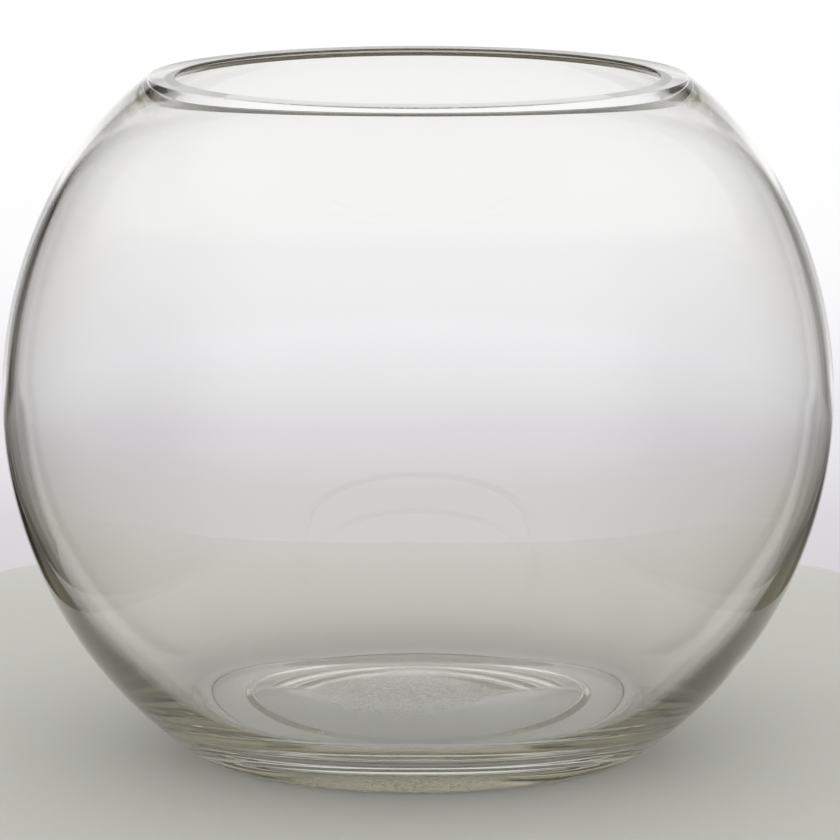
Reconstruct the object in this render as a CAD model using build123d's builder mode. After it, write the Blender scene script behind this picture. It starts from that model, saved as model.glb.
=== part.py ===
from build123d import *
import os
from math import sqrt

# Round rose bowl of clear blown glass, in millimetres, +Z up.
# It is one piece: a thick bottom with a hollow under the foot, a thin round side
# that draws in to the mouth, and a flat cut rim.
# The origin is on the standing plane, in the middle of the foot.

os.makedirs("parts", exist_ok=True)

# Outside of the bowl
body_diameter = 200.0
bowl_height = 162.5
widest_height = 85.2
rim_diameter = 128.7
foot_diameter = 111.7

# Place of the shoulder, where the upper curve changes its radius: its share of the way
# from the rim out to the widest diameter, and from the widest height up to the rim
shoulder_out_share = 0.703
shoulder_up_share = 0.598

# Thickness of the glass, measured level through the side
rim_land = 8.3
shoulder_wall = 2.8
waist_wall = 3.1
heel_wall = 9.0

# Hollow under the foot: a steep step at its edge, then a shallow dome with a flat middle
kick_diameter = 86.0
kick_step_width = 1.5
kick_step_height = 3.8
dome_flat_diameter = 34.0
dome_rise = 3.0

# Glass between the flat of that hollow and the floor inside, and how far the floor
# falls from its middle to the heel
floor_glass = 4.0
floor_drop = 2.5

# Roundings
heel_radius = 24.5
foot_edge_radius = 2.5
kick_edge_radius = 0.5
kick_bend_radius = 1.0
rim_edge_radius = 0.6

body_radius = body_diameter / 2
rim_radius = rim_diameter / 2
foot_radius = foot_diameter / 2
kick_radius = kick_diameter / 2
step_radius = kick_radius - kick_step_width
kick_height = kick_step_height + dome_rise
floor_height = kick_height + floor_glass
floor_edge_height = floor_height - floor_drop

shoulder_radius = rim_radius + shoulder_out_share * (body_radius - rim_radius)
shoulder_height = widest_height + shoulder_up_share * (bowl_height - widest_height)

# The lower side is one arc that stands upright at the widest height
side_inset = body_radius - foot_radius
side_arc_radius = (side_inset**2 + widest_height**2) / (2 * side_inset)
side_arc_drop = widest_height - floor_edge_height
outside_radius_there = body_radius - side_arc_radius + sqrt(side_arc_radius**2 - side_arc_drop**2)
inside_floor_radius = outside_radius_there - heel_wall

# Points of the section, as distance from the axis and height
dome_top = (0, kick_height)
dome_flat_edge = (dome_flat_diameter / 2, kick_height)
step_inner = (step_radius, kick_step_height)
kick_edge = (kick_radius, 0)
foot_edge = (foot_radius, 0)
waist_outside = (body_radius, widest_height)
shoulder_outside = (shoulder_radius, shoulder_height)
rim_outside = (rim_radius, bowl_height)
rim_inside = (rim_radius - rim_land, bowl_height)
shoulder_inside = (shoulder_radius - shoulder_wall, shoulder_height)
waist_inside = (body_radius - waist_wall, widest_height)
floor_corner = (inside_floor_radius, floor_edge_height)
floor_middle = (0, floor_height)


def circles_at(circles, radius, height):
    """The round edges of about that radius at about that height."""
    return [
        edge
        for edge in circles
        if abs(edge.arc_center.Z - height) < rim_edge_radius
        and abs(edge.radius - radius) < rim_edge_radius
    ]


with BuildPart() as glass_bowl:
    with BuildSketch(Plane.XZ) as section:
        with BuildLine():
            # Underside, from the axis out to the foot
            Line(dome_top, dome_flat_edge)
            TangentArc(dome_flat_edge, step_inner, tangent=(1, 0))
            Polyline(step_inner, kick_edge, foot_edge)
            # Outside, from the foot up to the rim
            TangentArc(waist_outside, foot_edge, tangent=(0, -1))
            upper_side = TangentArc(waist_outside, shoulder_outside, tangent=(0, 1))
            TangentArc(shoulder_outside, rim_outside, tangent=upper_side % 1)
            # Flat cut rim
            Line(rim_outside, rim_inside)
            # Inside, from the rim down to the floor and back to the axis
            upper_inside = TangentArc(waist_inside, shoulder_inside, tangent=(0, 1))
            TangentArc(shoulder_inside, rim_inside, tangent=upper_inside % 1)
            TangentArc(waist_inside, floor_corner, tangent=(0, -1))
            TangentArc(floor_middle, floor_corner, tangent=(1, 0))
            Line(floor_middle, dome_top)
        make_face()
    revolve(axis=Axis.Z)

    circles = glass_bowl.edges().filter_by(GeomType.CIRCLE)
    rim_edges = circles.group_by(Axis.Z)[-1]
    fillet(rim_edges, radius=rim_edge_radius)
    standing_edges = circles.group_by(Axis.Z)[0].sort_by(SortBy.RADIUS)
    fillet(standing_edges[-1], radius=foot_edge_radius)
    fillet(standing_edges[0], radius=kick_edge_radius)
    bend_edges = circles_at(circles, step_radius, kick_step_height)
    fillet(bend_edges, radius=kick_bend_radius)
    heel_edges = circles_at(circles, inside_floor_radius, floor_edge_height)
    fillet(heel_edges, radius=heel_radius)

glass_bowl.part.label = "glass_bowl"
export_step(glass_bowl.part, "parts/glass_bowl.step")
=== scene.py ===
import math

import bmesh
import bpy
import numpy as np
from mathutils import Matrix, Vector


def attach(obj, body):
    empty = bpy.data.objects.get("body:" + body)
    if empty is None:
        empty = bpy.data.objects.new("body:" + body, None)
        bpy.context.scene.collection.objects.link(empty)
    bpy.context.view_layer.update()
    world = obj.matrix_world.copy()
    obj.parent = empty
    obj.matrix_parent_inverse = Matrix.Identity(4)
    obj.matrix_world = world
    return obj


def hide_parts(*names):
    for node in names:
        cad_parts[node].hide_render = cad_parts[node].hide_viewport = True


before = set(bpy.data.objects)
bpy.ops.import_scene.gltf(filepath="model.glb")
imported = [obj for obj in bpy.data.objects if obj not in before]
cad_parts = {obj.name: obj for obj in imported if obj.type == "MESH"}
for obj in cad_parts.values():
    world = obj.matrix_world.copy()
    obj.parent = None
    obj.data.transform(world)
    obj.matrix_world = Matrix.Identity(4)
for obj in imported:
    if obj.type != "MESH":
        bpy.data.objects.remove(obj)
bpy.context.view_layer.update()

# A round rose bowl of clear blown glass on a pale table. The scene is in metres, +Z up. Sizes
# are written in millimetres and angles in degrees where they are not named otherwise.
MM = 0.001
DEG = math.pi / 180

# Sizes of the bowl, those of the solid but for the rounding of the foot, which is wider
BODY_R = 100.0
HEIGHT = 162.5
WIDEST_Z = 85.2
RIM_R = 64.35
FOOT_R = 55.85
SHOULDER_OUT = 0.703
SHOULDER_UP = 0.598
RIM_LAND = 8.3
SHOULDER_WALL = 2.8
WAIST_WALL = 3.1
KICK_R = 43.0
KICK_STEP_W = 1.5
KICK_STEP_H = 3.8
KICK_FLAT_R = 17.0
DOME_RISE = 3.0
FLOOR_GLASS = 4.0
FLOOR_DROP = 2.5
FOOT_EDGE_R = 8.0
KICK_EDGE_R = 0.5
KICK_BEND_R = 1.0
RIM_EDGE_R = 0.6

# Glass at the heel and the rounding inside it, at the right, the back, the left and the front
HEELS = [(9.6, 24.0), (11.0, 27.0), (9.6, 24.0), (6.4, 22.6)]

# Steps round the bowl, and the length of a step along its section: on the large forms, on the
# steep side of the hollow and on the small roundings
SEGMENTS = 384
STEP = 1.0
STEEP_STEP = 0.25
FINE_STEP = 0.12

# Points nearer to each other than this are one point
SAME_POINT = 1e-4

# How many points from its end an arc has the point that shows its direction there
DOME_NEAR_END = -3
NECK_NEAR_END = -4

# Points of the lower inside, on its side, heel and floor, before it is softened
SIDE_POINTS = 400
HEEL_POINTS = 300
FLOOR_POINTS = 300

# The softening of the inner line and of the hollow's dome, as hot glass flows: the number of
# steps of the line, and the spread in steps. The inner line is soft below these heights.
INSIDE_STEPS = 260
INSIDE_SPREAD = 7.0
INSIDE_SOFT_Z = (62.0, 40.0)
DOME_STEPS = 90
DOME_SPREAD = 6.0
REACH_IN_SPREADS = 4

# The floor inside falls to both sides and leans to the back, by so much per millimetre. Half
# the width of its level middle, and the heights between which this fades into the side.
FLOOR_FALL = 0.010
FLOOR_LEAN = 0.017
FLOOR_LEVEL = 2.0
FLOOR_LEAN_Z = (12.0, 40.0)

# The ledge that the inner wall makes at the right, above the heel: its height, half its rise,
# its depth, its spread round the bowl, and where above it the wall is back in place
LEDGE_Z = 21.5
LEDGE_HALF_RISE = 3.5
LEDGE_DEPTH = 0.55
LEDGE_SPREAD = 17.0
LEDGE_BACK = (8.0, 40.0)

# Faint waves of the inner wall, left by the tools while the bowl was turned: depth, number
# round the bowl, turn, and height over which they wind. They fade in and out at these heights.
WAVES = [(0.030, 3, 0.7, 21.0), (0.016, 5, 2.1, -15.0), (0.004, 9, 0.3, 9.0)]
WAVES_START_Z = (16.0, 40.0)
WAVES_END_Z = (48.0, 82.0)

# The hollow's edge is not a true circle: its dents, their number round the bowl, and how far
# inside its edge and inside the foot's edge they fade. Its top stands off the middle.
KICK_DENT = 0.6
KICK_DENTS = 4
KICK_DENT_FADE = (1.0, 4.0)
KICK_LEAN = 0.074

# The ground place in the hollow, where the bowl was broken off the rod that held it
SCAR_AT = (-4.0, -8.0)

# Seed bubbles: most lie over the ground place, within that distance of it, stretched so far
# across and along, between the hollow and the floor. A few stray ones lie round it.
SEED_START = 7
SEED_COUNT = 210
SEED_R = 17.5
SEED_STRETCH = (1.15, 1.1)
SEED_SIZES = [0.16, 0.2, 0.26, 0.36]
SEED_SHARES = [0.3, 0.35, 0.22, 0.13]
SEED_OVER_HOLLOW = 0.5
SEED_SPREAD_UP = 0.5
SEED_UNDER_FLOOR = 1.2
STRAY_COUNT = 14
STRAY_R = (20, 32)
STRAY_Z = (8.2, 8.8)
STRAY_SIZES = (0.12, 0.2)
BUBBLE_FORM = (1, 1, 0.8)
BUBBLE_DETAIL = 1

# Heights and points that follow from the sizes
LOW_INSET = BODY_R - FOOT_R
LOW_R = (LOW_INSET**2 + WIDEST_Z**2) / (2 * LOW_INSET)
LOW_CENTRE = np.array([BODY_R - LOW_R, WIDEST_Z])
KICK_STEP_R = KICK_R - KICK_STEP_W
KICK_H = KICK_STEP_H + DOME_RISE
FLOOR_Z = KICK_H + FLOOR_GLASS
SHOULDER = np.array([
    RIM_R + SHOULDER_OUT * (BODY_R - RIM_R),
    WIDEST_Z + SHOULDER_UP * (HEIGHT - WIDEST_Z),
])
WAIST_IN = (BODY_R - WAIST_WALL, WIDEST_Z)


# The section of the bowl, as points of distance from the axis and height


def direction(vector):
    """The angle of a vector in the plane of the section."""
    return math.atan2(vector[1], vector[0])


def arc_by_tangent(p, t, q):
    """Centre, radius, start and end angle of the arc from p to q that leaves p along t, and
    the direction in which it ends."""
    p, t, q = (np.asarray(v, float) for v in (p, t, q))
    t = t / np.linalg.norm(t)
    normal = np.array([-t[1], t[0]])
    chord = q - p
    k = chord @ chord / (2 * (chord @ normal))
    centre = p + normal * k
    a0 = direction(p - centre)
    a1 = direction(q - centre)
    if k > 0 and a1 < a0:
        a1 += 2 * math.pi
    if k < 0 and a1 > a0:
        a1 -= 2 * math.pi
    end = math.copysign(1, k) * np.array([-math.sin(a1), math.cos(a1)])
    return centre, abs(k), a0, a1, end


def counted_arc(centre, radius, a0, a1, count):
    """That many points along an arc, both ends included."""
    a = np.linspace(a0, a1, count)
    return np.asarray(centre) + radius * np.stack([np.cos(a), np.sin(a)], 1)


def stepped_arc(centre, radius, a0, a1, step):
    """Points along an arc, about a step apart, both ends included."""
    count = max(2, int(math.ceil(abs(a1 - a0) * radius / step)) + 1)
    return counted_arc(centre, radius, a0, a1, count)


def straight(p, q, step):
    """Points along a line, about a step apart, both ends included."""
    count = max(2, int(math.ceil(math.dist(p, q) / step)) + 1)
    return np.linspace(p, q, count)


def rounded(before, corner, after, radius):
    """An arc of that radius in the corner between two lines."""
    before, corner, after = (np.asarray(v, float) for v in (before, corner, after))
    u = (before - corner) / np.linalg.norm(before - corner)
    v = (after - corner) / np.linalg.norm(after - corner)
    half = math.acos(np.clip(u @ v, -1, 1)) / 2
    centre = corner + (u + v) / np.linalg.norm(u + v) * radius / math.sin(half)
    cut = radius / math.tan(half)
    a0 = direction(corner + u * cut - centre)
    a1 = direction(corner + v * cut - centre)
    while a1 - a0 > math.pi:
        a1 -= 2 * math.pi
    while a1 - a0 < -math.pi:
        a1 += 2 * math.pi
    return stepped_arc(centre, radius, a0, a1, FINE_STEP)


def cut_back(line, corner, start):
    """The line without the points that lie nearer to its corner than the rounding's start."""
    return line[np.linalg.norm(line - corner, axis=1) > np.linalg.norm(start - corner)]


def join(parts):
    """One row of points out of several, without doubles."""
    points = np.vstack(parts)
    keep = np.r_[True, np.linalg.norm(np.diff(points, axis=0), axis=1) > SAME_POINT]
    return points[keep]


def smooth(v, start, end):
    """0 at start, 1 at end, with soft ends."""
    x = np.clip((v - start) / (end - start), 0, 1)
    return x * x * (3 - 2 * x)


def softened(points, count, spread, axis_end):
    """The same line in even steps with the changes of its curvature spread out. axis_end says
    which end, 0 or -1, lies on the axis, where the line goes on as its own mirror image."""
    along = np.r_[0, np.cumsum(np.linalg.norm(np.diff(points, axis=0), axis=1))]
    even = np.linspace(0, along[-1], count)
    line = np.stack([np.interp(even, along, points[:, i]) for i in range(2)], 1)
    reach = int(REACH_IN_SPREADS * spread)
    weights = np.exp(-0.5 * (np.arange(-reach, reach + 1) / spread) ** 2)
    weights /= weights.sum()
    head, tail = line[reach:0:-1], line[-2 : -reach - 2 : -1]
    if axis_end == 0:
        head, tail = head * (-1, 1), 2 * line[-1] - tail
    else:
        head, tail = 2 * line[0] - head, tail * (-1, 1)
    padded = np.vstack([head, line, tail])
    soft = np.stack([np.convolve(padded[:, i], weights, "valid") for i in range(2)], 1)
    if axis_end == 0:
        soft[0, 0] = 0.0
        return soft
    share = smooth(line[:, 1], *INSIDE_SOFT_Z)[:, None]
    return line * (1 - share) + soft * share


def foot_turn():
    """The rounding between the foot and the side."""
    out = math.sqrt((LOW_R - FOOT_EDGE_R) ** 2 - (WIDEST_Z - FOOT_EDGE_R) ** 2)
    centre = np.array([LOW_CENTRE[0] + out, FOOT_EDGE_R])
    end = direction(centre - LOW_CENTRE)
    return stepped_arc(centre, FOOT_EDGE_R, -math.pi / 2, end, FINE_STEP)


def under_section():
    """The underside, from the middle out: the hollow's flat, its dome and step, and the foot."""
    flat = straight((0, KICK_H), (KICK_FLAT_R, KICK_H), STEP)
    step_top, step_foot = (KICK_STEP_R, KICK_STEP_H), (KICK_R, 0)
    *arc, _ = arc_by_tangent((KICK_FLAT_R, KICK_H), (1, 0), step_top)
    dome = stepped_arc(*arc, STEP)
    edge = rounded(step_top, step_foot, (FOOT_R, 0), KICK_EDGE_R)
    bend = rounded(dome[DOME_NEAR_END], step_top, step_foot, KICK_BEND_R)
    dome = cut_back(dome, dome[-1], bend[0])
    crown = softened(join([flat, dome]), DOME_STEPS, DOME_SPREAD, 0)
    step = straight(bend[-1], edge[0], STEEP_STEP)
    foot = straight(edge[-1], foot_turn()[0], STEP)
    return join([crown, bend, step, edge, foot])


def outside_section():
    """The outside from the foot up, the cut rim, and the inside from there down to the waist."""
    turn = foot_turn()
    low = stepped_arc(LOW_CENTRE, LOW_R, direction(turn[-1] - LOW_CENTRE), 0, STEP)
    *arc, tangent = arc_by_tangent((BODY_R, WIDEST_Z), (0, 1), SHOULDER)
    upper = stepped_arc(*arc, STEP)
    *arc, _ = arc_by_tangent(SHOULDER, tangent, (RIM_R, HEIGHT))
    neck = stepped_arc(*arc, STEP)

    inner_shoulder = (SHOULDER[0] - SHOULDER_WALL, SHOULDER[1])
    rim_in = (RIM_R - RIM_LAND, HEIGHT)
    *arc, tangent = arc_by_tangent(WAIST_IN, (0, 1), inner_shoulder)
    inner_upper = stepped_arc(*arc, STEP)
    *arc, _ = arc_by_tangent(inner_shoulder, tangent, rim_in)
    inner_neck = stepped_arc(*arc, STEP)

    outer_turn = rounded(neck[NECK_NEAR_END], neck[-1], rim_in, RIM_EDGE_R)
    inner_turn = rounded((RIM_R, HEIGHT), rim_in, inner_neck[NECK_NEAR_END], RIM_EDGE_R)
    neck = cut_back(neck, neck[-1], outer_turn[0])
    side = cut_back(inner_neck[::-1], inner_neck[-1], inner_turn[-1])
    land = straight(outer_turn[-1], inner_turn[0], STEP)
    return join([turn, low, upper, neck, outer_turn, land, inner_turn, side, inner_upper[::-1]])


def bottom_section(heel_wall, heel_r):
    """The inside from the waist down to the middle of the floor, with a fixed number of points."""
    corner_z = FLOOR_Z - FLOOR_DROP
    outside_r = LOW_CENTRE[0] + math.sqrt(LOW_R**2 - (WIDEST_Z - corner_z) ** 2)
    corner_r = outside_r - heel_wall
    side_c, side_r, _, _, _ = arc_by_tangent(WAIST_IN, (0, -1), (corner_r, corner_z))
    floor_r = (corner_r**2 + FLOOR_DROP**2) / (2 * FLOOR_DROP)
    floor_c = np.array([0.0, FLOOR_Z - floor_r])
    # the heel touches the side from within and the domed floor from above
    line = floor_c - side_c
    gap = np.linalg.norm(line)
    reach = side_r - heel_r
    along = (gap**2 + reach**2 - (floor_r + heel_r) ** 2) / (2 * gap)
    off = math.sqrt(reach**2 - along**2)
    across = np.array([-line[1], line[0]]) / gap
    middle = side_c + line / gap * along
    heel_c = max((middle + across * off, middle - across * off), key=lambda c: c[0])
    side_end = direction(heel_c - side_c)
    floor_start = direction(heel_c - floor_c)
    side = counted_arc(side_c, side_r, 0, side_end, SIDE_POINTS)
    heel = counted_arc(heel_c, heel_r, side_end, floor_start - math.pi, HEEL_POINTS)
    floor = counted_arc(floor_c, floor_r, floor_start, math.pi / 2, FLOOR_POINTS)
    line = np.vstack([side, heel[1:], floor[1:]])
    return softened(line, INSIDE_STEPS, INSIDE_SPREAD, -1)[1:]


# What hand work leaves on the glass


def work_inside(x, y, z):
    """The inner surface as the blower left it."""
    angle = np.arctan2(y, x) / DEG
    lean = 1 - smooth(z, *FLOOR_LEAN_Z)
    aside = np.hypot(x, FLOOR_LEVEL) - FLOOR_LEVEL
    z = z - (FLOOR_FALL * aside + FLOOR_LEAN * y) * lean
    near = np.exp(-((angle / LEDGE_SPREAD) ** 2))
    rise = smooth(z, LEDGE_Z - LEDGE_HALF_RISE, LEDGE_Z + LEDGE_HALF_RISE)
    ledge = near * rise * (1 - smooth(z, LEDGE_Z + LEDGE_BACK[0], LEDGE_Z + LEDGE_BACK[1]))
    r = np.maximum(np.hypot(x, y), 1.0)
    slim = 1 - LEDGE_DEPTH * ledge / r
    x, y = x * slim, y * slim
    a = np.arctan2(y, x)
    wave = sum(depth * np.sin(count * a + turn + z / wind) for depth, count, turn, wind in WAVES)
    wave = wave * smooth(z, *WAVES_START_Z) * (1 - smooth(z, *WAVES_END_Z))
    grow = 1 + wave / r
    return x * grow, y * grow, z


def work_under(x, y, z):
    """The hollow under the foot: an uneven outline and a top that stands towards the front."""
    r = np.hypot(x, y)
    a = np.arctan2(y, x)
    inside = 1 - smooth(r, KICK_R - KICK_DENT_FADE[0], FOOT_R - KICK_DENT_FADE[1])
    dent = KICK_DENT * (1 - np.cos(KICK_DENTS * a)) * inside * np.minimum(r / KICK_R, 1.0) ** 2
    pull = 1 - dent / np.maximum(r, 1.0)
    crown = np.clip(1 - (r / KICK_STEP_R) ** 2, 0, 1)
    return x * pull, y * pull, z - KICK_LEAN * y * crown


def seeds():
    """Places and sizes of the seed bubbles."""
    rng = np.random.default_rng(SEED_START)
    out = []
    for _ in range(SEED_COUNT):
        a, d = rng.uniform(0, 2 * math.pi), SEED_R * math.sqrt(rng.uniform(0, 1))
        size = float(rng.choice(SEED_SIZES, p=SEED_SHARES))
        x = SCAR_AT[0] + SEED_STRETCH[0] * d * math.cos(a)
        y = SCAR_AT[1] + SEED_STRETCH[1] * d * math.sin(a)
        top = KICK_H - KICK_LEAN * y * (1 - (math.hypot(x, y) / KICK_STEP_R) ** 2)
        z = top + SEED_OVER_HOLLOW + abs(rng.normal(0, SEED_SPREAD_UP))
        out.append(((x, y, min(z, FLOOR_Z - SEED_UNDER_FLOOR)), size))
    for _ in range(STRAY_COUNT):
        a, d = rng.uniform(0, 2 * math.pi), rng.uniform(*STRAY_R)
        place = (d * math.cos(a), d * math.sin(a), rng.uniform(*STRAY_Z))
        out.append((place, rng.uniform(*STRAY_SIZES)))
    return out


# The mesh of the bowl


def turns():
    """The angles of the steps round the bowl."""
    return np.linspace(0, 2 * math.pi, SEGMENTS, endpoint=False)


def section_rings(points, work=None):
    """A section turned round the axis and moved by work: rings by steps by 3, in metres."""
    a = turns()
    r = np.maximum(points[:, 0], 0.0)[:, None]
    x, y, z = r * np.cos(a), r * np.sin(a), np.repeat(points[:, 1][:, None], SEGMENTS, axis=1)
    if work:
        x, y, z = work(x, y, z)
    return np.stack([x, y, z], 2) * MM


def inside_rings():
    """The lower inside: its sections at the four sides, blended round the bowl."""
    a = turns()
    shares = [np.maximum(t, 0) ** 2 for t in (np.cos(a), np.sin(a), -np.cos(a), -np.sin(a))]
    blend = sum(
        bottom_section(*heel)[:, None] * share[None, :, None]
        for heel, share in zip(HEELS, shares)
    )
    r, z = np.maximum(blend[..., 0], 0.0), blend[..., 1]
    x, y, z = work_inside(r * np.cos(a), r * np.sin(a), z)
    return np.stack([x, y, z], 2) * MM


def ball():
    """Vertices and faces of a ball of radius 1 whose faces look inwards."""
    bm = bmesh.new()
    bmesh.ops.create_icosphere(bm, subdivisions=BUBBLE_DETAIL, radius=1.0)
    verts = np.array([v.co[:] for v in bm.verts])
    faces = np.array([[v.index for v in reversed(f.verts)] for f in bm.faces])
    bm.free()
    return verts, faces


def ring_faces(count):
    """The faces between the rings, and the fans that close the first and the last of them."""
    i, j = np.meshgrid(np.arange(count - 1), np.arange(SEGMENTS), indexing="ij")
    k = (j + 1) % SEGMENTS
    low, high = i * SEGMENTS, (i + 1) * SEGMENTS
    quads = np.stack([low + j, low + k, high + k, high + j], 2)
    j = np.arange(SEGMENTS)
    k = (j + 1) % SEGMENTS
    middle = np.full(SEGMENTS, count * SEGMENTS)
    last = (count - 1) * SEGMENTS
    fans = [np.stack([middle, k, j], 1), np.stack([middle + 1, last + j, last + k], 1)]
    return quads.reshape(-1, 4).tolist() + np.vstack(fans).tolist()


def build_bowl():
    """One closed mesh of the bowl's glass, with the bubbles as hollows in it."""
    under, inside = under_section(), inside_rings()
    outside = section_rings(outside_section())
    rings = np.vstack([section_rings(under[1:], work_under), outside, inside[:-1]])
    tops = [section_rings(under[:1], work_under)[0, 0], inside[-1, 0]]
    verts = [rings.reshape(-1, 3), np.array(tops)]
    faces = ring_faces(len(rings))
    round_verts, round_faces = ball()
    start = len(rings) * SEGMENTS + len(tops)
    for place, size in seeds():
        verts.append((np.array(place) + round_verts * size * BUBBLE_FORM) * MM)
        faces += (round_faces + start).tolist()
        start += len(round_verts)
    mesh = bpy.data.meshes.new("glass_bowl_blown")
    mesh.from_pydata(np.vstack(verts).tolist(), [], faces)
    mesh.polygons.foreach_set("use_smooth", [True] * len(mesh.polygons))
    mesh.update()
    piece = bpy.data.objects.new("glass_bowl_blown", mesh)
    bpy.context.scene.collection.objects.link(piece)
    return piece


# Materials. Their lengths are in metres.

GLASS_IOR = 1.5
GLASS_TINT = (0.60, 0.575, 0.47, 1)
TINT_DENSITY = 18.0

# Scale and detail of the fine grain of ground glass, of its coarse specks and of the slow
# waves of fire-polished glass, which are drawn out sideways
GRAIN = (900.0, 3.0)
SPECK = (2600.0, 1.0)
SLOW_WAVES = (26.0, 1.5, (1, 1, 2.4))
SLOW_WAVES_STRENGTH = 0.2
SLOW_WAVES_HEIGHT = 0.00004
BITE_STRENGTH = 0.8
BITE_HEIGHT = 0.00015

# Where a finish comes in, as the height or distance at which it starts and is full
RIM_Z = (0.1615, 0.1622)
STANDING_Z = (0.0004, 0.00005)
STANDING_R = (0.042, 0.044)
SCAR_TOP_Z = (0.0095, 0.0090)
SCAR_LOW_Z = (0.0036, 0.0042)
SCAR_R = (0.025, 0.015)
STEP_LOW_Z = (0.0006, 0.0012)
STEP_TOP_Z = (0.0042, 0.0036)
STEP_R = (0.048, 0.047)
STEP_BACK_Y = (-0.004, 0.006)
BLOCKED_X = (0.050, 0.062)
BLOCKED_Z = (0.048, 0.036)

# How rough each finish is: the grain between which it goes from one roughness to another
RIM_ROUGH = (0.35, 0.75, 0.02, 0.10)
STANDING_ROUGH = (0.45, 0.8, 0.0, 0.06)
SCAR_ROUGH = (0.35, 0.7, 0.0, 0.22)
BLOCKED_ROUGH = 0.05

# How much light they scatter, by grain and by specks, and how worn they look
SCAR_HAZE = (0.5, 0.62, 0.04, 0.45)
SCAR_SPECK_HAZE = (0.56, 0.68, 0.0, 0.5)
STEP_HAZE = (0.3, 0.6, 0.35, 0.8)
STANDING_WORN = (0.5, 0.8, 0.0, 0.3)
SCAR_WORN = (0.55, 0.75, 0.0, 0.35)
CLEAN_COLOR = (1, 1, 1, 1)
WORN_COLOR = (0.92, 0.91, 0.89, 1)

# The table: scale and detail of its grain and clouds, how much of each, its colours, the paler
# colour of the painted backlight towards the sweep, and how far back that painted light comes in
TABLE_GRAIN = (420.0, 3.0)
TABLE_CLOUD = (9.0, 2.0)
TABLE_SHARES = (0.4, 0.6)
TABLE_COLORS = ((0.625, 0.627, 0.575, 1), (0.66, 0.658, 0.61, 1))
TABLE_PAINTED_BACKLIGHT_COLOR = (0.668, 0.66, 0.635, 1)
TABLE_PAINTED_BACKLIGHT_Y = (0.160, 0.213)
TABLE_ROUGH = 0.7
TABLE_SPECULAR = 0.2
TABLE_BUMP_STRENGTH = 0.15
TABLE_BUMP_HEIGHT = 0.0001


class Nodes:
    """Short hands for node trees."""

    def __init__(self, tree):
        self.tree = tree
        tree.nodes.clear()

    def add(self, kind, **settings):
        node = self.tree.nodes.new(kind)
        for key, value in settings.items():
            setattr(node, key, value)
        return node

    def link(self, a, b):
        self.tree.links.new(a, b)

    def feed(self, socket, value):
        if isinstance(value, (int, float, tuple)):
            socket.default_value = value
        else:
            self.link(value, socket)

    def math(self, operation, *values):
        node = self.add("ShaderNodeMath", operation=operation)
        for socket, value in zip(node.inputs, values):
            self.feed(socket, value)
        return node.outputs[0]

    def product(self, *values):
        """All the values multiplied."""
        result = values[0]
        for value in values[1:]:
            result = self.math("MULTIPLY", result, value)
        return result

    def length(self, x, y):
        """The length of a vector with these two parts."""
        squares = self.math("POWER", x, 2.0), self.math("POWER", y, 2.0)
        return self.math("SQRT", self.math("ADD", *squares))

    def ramp(self, value, low, high, a=0.0, b=1.0):
        """a at low and b at high, with soft ends."""
        node = self.add("ShaderNodeMapRange", interpolation_type="SMOOTHSTEP")
        self.feed(node.inputs["Value"], value)
        for name, v in (("From Min", low), ("From Max", high), ("To Min", a), ("To Max", b)):
            node.inputs[name].default_value = v
        return node.outputs[0]

    def mix(self, share, a, b):
        node = self.add("ShaderNodeMix", data_type="RGBA")
        for index, value in ((0, share), (6, a), (7, b)):
            self.feed(node.inputs[index], value)
        return node.outputs[2]

    def noise(self, vector, scale, detail, stretch=(1, 1, 1)):
        mapping = self.add("ShaderNodeMapping")
        mapping.inputs["Scale"].default_value = stretch
        self.link(vector, mapping.inputs["Vector"])
        node = self.add("ShaderNodeTexNoise")
        node.inputs["Scale"].default_value = scale
        node.inputs["Detail"].default_value = detail
        self.link(mapping.outputs[0], node.inputs["Vector"])
        return node.outputs[0]

    def bump(self, strength, distance, height):
        node = self.add("ShaderNodeBump")
        self.feed(node.inputs["Strength"], strength)
        node.inputs["Distance"].default_value = distance
        self.link(height, node.inputs["Height"])
        return node

    def place(self):
        """The place on the object, as a vector and as its parts."""
        place = self.add("ShaderNodeTexCoord").outputs["Object"]
        split = self.add("ShaderNodeSeparateXYZ")
        self.link(place, split.inputs[0])
        return place, *split.outputs


def new_material(name):
    """A material with its nodes and its main shader."""
    material = bpy.data.materials.new(name)
    material.use_nodes = True
    n = Nodes(material.node_tree)
    out = n.add("ShaderNodeOutputMaterial")
    shader = n.add("ShaderNodeBsdfPrincipled")
    n.link(shader.outputs[0], out.inputs["Surface"])
    return material, n, out, shader


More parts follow.
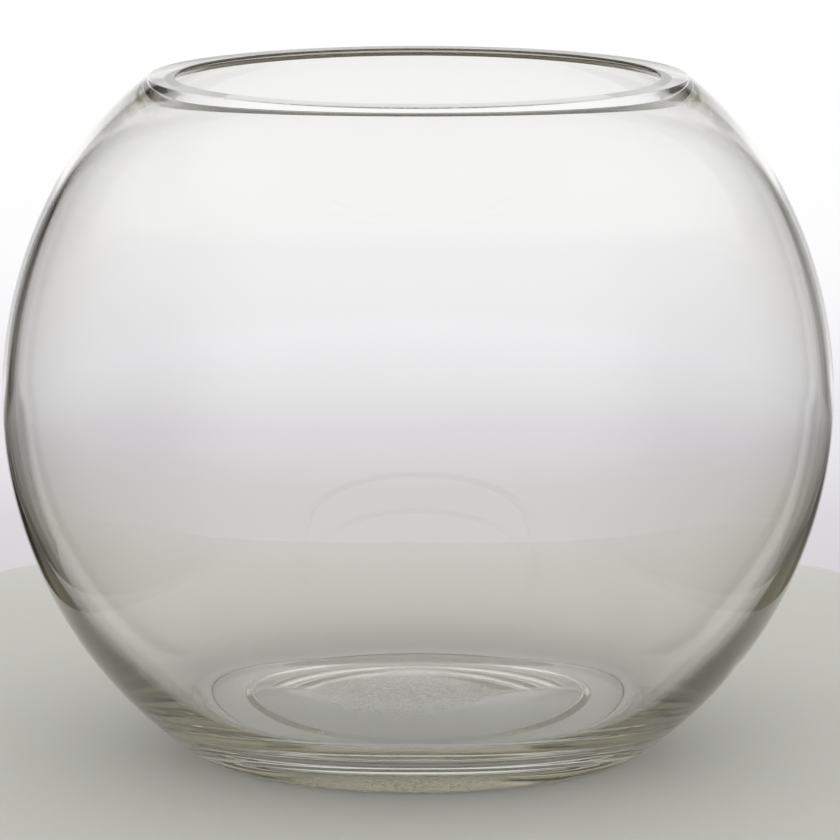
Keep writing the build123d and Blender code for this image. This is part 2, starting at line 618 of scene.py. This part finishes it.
def glass_material():
    """Clear blown glass, a little grey-green where it is thick, ground in a few places."""
    material, n, out, shader = new_material("clear_blown_glass")
    shader.inputs["Transmission Weight"].default_value = 1.0
    shader.inputs["IOR"].default_value = GLASS_IOR
    absorb = n.add("ShaderNodeVolumeAbsorption")
    absorb.inputs["Color"].default_value = GLASS_TINT
    absorb.inputs["Density"].default_value = TINT_DENSITY
    n.link(absorb.outputs[0], out.inputs["Volume"])

    place, x, y, z = n.place()
    radius = n.length(x, y)
    grain = n.noise(place, *GRAIN)
    speck = n.noise(place, *SPECK)

    # the rim is ground flat and polished, the ring that the bowl stands on is scuffed a little
    rim = n.ramp(z, *RIM_Z)
    standing = n.product(n.ramp(z, *STANDING_Z), n.ramp(radius, *STANDING_R))
    # the middle of the hollow is ground
    off_x = n.math("SUBTRACT", x, SCAR_AT[0] * MM)
    off_y = n.math("SUBTRACT", y, SCAR_AT[1] * MM)
    from_scar = n.length(off_x, off_y)
    scar = n.product(n.ramp(z, *SCAR_TOP_Z), n.ramp(from_scar, *SCAR_R), n.ramp(z, *SCAR_LOW_Z))
    # the hollow's step is left matt at the back
    step = n.product(
        n.ramp(z, *STEP_LOW_Z),
        n.ramp(z, *STEP_TOP_Z),
        n.product(n.ramp(radius, *STEP_R), n.ramp(y, *STEP_BACK_Y)),
    )
    # low on the two sides the glass is a little less smooth, from the wooden block it was turned in
    blocked = n.product(n.ramp(n.math("ABSOLUTE", x), *BLOCKED_X), n.ramp(z, *BLOCKED_Z))

    rough = n.product(rim, n.ramp(grain, *RIM_ROUGH))
    rough = n.math("ADD", rough, n.product(standing, n.ramp(grain, *STANDING_ROUGH)))
    rough = n.math("ADD", rough, n.product(scar, n.ramp(grain, *SCAR_ROUGH)))
    rough = n.math("MAXIMUM", rough, n.product(blocked, BLOCKED_ROUGH))
    n.link(rough, shader.inputs["Roughness"])

    # ground glass scatters some light, most in its coarse grains
    scatter = n.math("ADD", n.ramp(grain, *SCAR_HAZE), n.ramp(speck, *SCAR_SPECK_HAZE))
    haze = n.math("ADD", n.product(scar, scatter), n.product(step, n.ramp(grain, *STEP_HAZE)))
    n.link(n.math("SUBTRACT", 1.0, haze), shader.inputs["Transmission Weight"])

    # and has a faint warm grey cast
    worn_standing = n.product(standing, n.ramp(grain, *STANDING_WORN))
    worn_scar = n.product(scar, n.ramp(speck, *SCAR_WORN))
    worn = n.math("ADD", worn_standing, worn_scar)
    n.link(n.mix(worn, CLEAN_COLOR, WORN_COLOR), shader.inputs["Base Color"])

    # slow waves of fire-polished glass, and the bite of the grinding
    waves = n.bump(SLOW_WAVES_STRENGTH, SLOW_WAVES_HEIGHT, n.noise(place, *SLOW_WAVES))
    bite = n.bump(n.product(scar, BITE_STRENGTH), BITE_HEIGHT, grain)
    n.link(waves.outputs[0], bite.inputs["Normal"])
    n.link(bite.outputs[0], shader.inputs["Normal"])
    return material


def table_material():
    """Pale matt board with a fine grain, and painted light that makes it paler towards its far
    edge.
    """
    material, n, _, shader = new_material("pale_table")
    place, _, y, _ = n.place()
    grain = n.noise(place, *TABLE_GRAIN)
    cloud = n.noise(place, *TABLE_CLOUD)
    shares = (n.product(part, share) for part, share in zip((grain, cloud), TABLE_SHARES))
    top_color = n.mix(n.math("ADD", *shares), *TABLE_COLORS)
    # painted light: the back of the table is made paler, as if lit from behind
    painted_backlight = n.ramp(y, *TABLE_PAINTED_BACKLIGHT_Y)
    n.link(n.mix(painted_backlight, top_color, TABLE_PAINTED_BACKLIGHT_COLOR), shader.inputs["Base Color"])
    shader.inputs["Roughness"].default_value = TABLE_ROUGH
    shader.inputs["Specular IOR Level"].default_value = TABLE_SPECULAR
    bump = n.bump(TABLE_BUMP_STRENGTH, TABLE_BUMP_HEIGHT, grain)
    n.link(bump.outputs[0], shader.inputs["Normal"])
    return material


# The studio

# The table is a block, deeper than it is wide: half its sizes, the power that makes its
# outline almost square, its thickness, its rounded edge and the height of its top
TABLE_HALF = (128.0, 215.0)
TABLE_SQUARE = 0.2
TABLE_THICK = 700.0
TABLE_EDGE_R = 3.0
TABLE_Z = -0.2
TABLE_TURNS = 512
TABLE_EDGE_STEPS = 7

# Elevation in degrees and linear colour of the backdrop there: a pale sweep, white above
SWEEP = [
    (-90.0, (0.55, 0.54, 0.46)),
    (-16.0, (0.58, 0.57, 0.51)),
    (-11.4, (0.688, 0.669, 0.705)),
    (-10.6, (0.80, 0.795, 0.812)),
    (-9.9, (0.86, 0.848, 0.883)),
    (-9.0, (0.95, 0.945, 0.96)),
    (-8.3, (0.988, 0.985, 0.995)),
    (-6.3, (1.0, 1.0, 1.0)),
    (90.0, (1.0, 1.0, 1.0)),
]

# Grey screens beside the sweep, left and right, with a dark edge towards it. A screen starts
# at one azimuth below the first elevation and at another above the second, rises to its full
# strength in so many degrees, and ends between two azimuths. Its strength and the strength of
# its edge change from the high to the low value between two elevations.
SCREEN_LOW = (-10.8, -8.8)
SCREEN_START = (12.0, 18.0)
SCREEN_RISE = 7.0
SCREEN_END = (96.0, 138.0)
SCREEN_FADE = (32.0, 6.0)
SCREEN_TOP = (52.0, 38.0)
EDGE_RISE = 4.0
EDGE_END = (15.0, 9.0)
EDGE_FADE = (38.0, 12.0)
SCREEN_COLOR = (0.06, 0.054, 0.04, 1)

# Side (-1 is left), strength low down, strength high up, strength of the edge
SCREENS = [(-1.0, 0.70, 0.30, 1.0), (1.0, 0.55, 0.12, 0.8)]

# How finely the light of the backdrop is mapped
LIGHT_MAP = 512

# Light runs a long way inside the wall before it comes out of the glass
LIGHT_BOUNCES = 48


def sweep_color(n, elevation):
    """The colour of the sweep at an elevation."""
    ramp = n.add("ShaderNodeValToRGB")
    n.link(n.math("DIVIDE", n.math("ADD", elevation, 90.0), 180.0), ramp.inputs[0])
    stops = ramp.color_ramp.elements
    stops.remove(stops[-1])
    stops[0].position = 0.0
    stops[0].color = (*SWEEP[0][1], 1)
    for height, color in SWEEP[1:]:
        stops.new((height + 90) / 180).color = (*color, 1)
    return ramp.outputs[0]


def screen_share(n, elevation, azimuth):
    """How much of the screens' grey there is in a direction."""
    dark = 0.0
    start = n.ramp(elevation, *SCREEN_LOW, *SCREEN_START)
    for side, low_share, high_share, edge_share in SCREENS:
        turn = n.product(azimuth, side)
        past = n.math("SUBTRACT", turn, start)
        screen = n.product(
            n.product(n.ramp(past, 0.0, SCREEN_RISE), n.ramp(turn, *reversed(SCREEN_END))),
            n.ramp(elevation, *SCREEN_FADE, high_share, low_share),
            n.ramp(elevation, *SCREEN_TOP),
        )
        edge = n.product(
            n.product(n.ramp(past, 0.0, EDGE_RISE), n.ramp(past, *EDGE_END)),
            n.ramp(elevation, *EDGE_FADE, 0.0, edge_share),
        )
        dark = n.math("MAXIMUM", dark, n.math("MAXIMUM", screen, edge))
    return dark


def studio_world():
    """The light: the sweep behind the bowl and the white above it, with the screens beside."""
    world = bpy.data.worlds.new("studio")
    bpy.context.scene.world = world
    world.use_nodes = True
    n = Nodes(world.node_tree)
    out = n.add("ShaderNodeOutputWorld")
    back = n.add("ShaderNodeBackground")
    n.link(back.outputs[0], out.inputs[0])
    split = n.add("ShaderNodeSeparateXYZ")
    n.link(n.add("ShaderNodeTexCoord").outputs["Generated"], split.inputs[0])
    x, y, z = split.outputs
    elevation = n.math("DIVIDE", n.math("ARCSINE", z), DEG)
    azimuth = n.math("DIVIDE", n.math("ARCTAN2", x, y), DEG)
    dark = screen_share(n, elevation, azimuth)
    n.link(n.mix(dark, sweep_color(n, elevation), SCREEN_COLOR), back.inputs[0])
    world.cycles.sampling_method = "MANUAL"
    world.cycles.sample_map_resolution = LIGHT_MAP


def build_table():
    """A pale block with a flat top, round corners and a rounded edge."""
    a = np.linspace(0, math.pi / 2, TABLE_EDGE_STEPS)
    insets = np.r_[TABLE_EDGE_R - TABLE_EDGE_R * np.sin(a), 0.0]
    heights = np.r_[TABLE_Z - TABLE_EDGE_R + TABLE_EDGE_R * np.cos(a), TABLE_Z - TABLE_THICK]
    turn = np.linspace(0, 2 * math.pi, TABLE_TURNS, endpoint=False)
    across, along = (
        np.sign(part) * np.abs(part) ** TABLE_SQUARE for part in (np.cos(turn), np.sin(turn))
    )
    bm = bmesh.new()
    rows = []
    for inset, z in zip(insets, heights):
        x, y = (TABLE_HALF[0] - inset) * across * MM, (TABLE_HALF[1] - inset) * along * MM
        rows.append([bm.verts.new((*xy, z * MM)) for xy in zip(x, y)])
    bm.faces.new(rows[0])
    for upper, lower in zip(rows[:-1], rows[1:]):
        for j in range(TABLE_TURNS):
            k = (j + 1) % TABLE_TURNS
            bm.faces.new((upper[j], lower[j], lower[k], upper[k]))
    bmesh.ops.recalc_face_normals(bm, faces=bm.faces)
    mesh = bpy.data.meshes.new("table")
    bm.to_mesh(mesh)
    bm.free()
    mesh.materials.append(table_material())
    piece = bpy.data.objects.new("table", mesh)
    bpy.context.scene.collection.objects.link(piece)
    return piece


# The camera stands 1.25 m in front of the axis and looks a little down at the bowl. It aims at
# a point of the axis, and the shift puts that point on its pixel of the square frame.
CAMERA_BACK = 1.250
CAMERA_UP = 0.3045
AIM_UP = 0.085
FOCAL_PIXELS = 5264.0
FRAME_PIXELS = 840
AIM_PIXEL = (418.0, 394.8)
SENSOR = 36.0


def place_camera():
    """The camera of the photograph."""
    data = bpy.data.cameras.new("camera")
    camera = bpy.data.objects.new("camera", data)
    bpy.context.scene.collection.objects.link(camera)
    camera.location = (0, -CAMERA_BACK, CAMERA_UP)
    aim = Vector((0, 0, AIM_UP))
    camera.rotation_euler = (aim - camera.location).to_track_quat("-Z", "Y").to_euler()
    data.sensor_width = SENSOR
    data.lens = FOCAL_PIXELS / FRAME_PIXELS * SENSOR
    data.shift_x = (FRAME_PIXELS / 2 - AIM_PIXEL[0]) / FRAME_PIXELS
    data.shift_y = (AIM_PIXEL[1] - FRAME_PIXELS / 2) / FRAME_PIXELS
    bpy.context.scene.camera = camera


bowl = build_bowl()
bowl.data.materials.append(glass_material())
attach(bowl, "root")
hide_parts("glass_bowl")

table = build_table()
studio_world()
place_camera()
bpy.context.scene.view_settings.view_transform = "Standard"

cycles = bpy.context.scene.cycles
cycles.max_bounces = LIGHT_BOUNCES
cycles.transmission_bounces = LIGHT_BOUNCES
cycles.glossy_bounces = LIGHT_BOUNCES
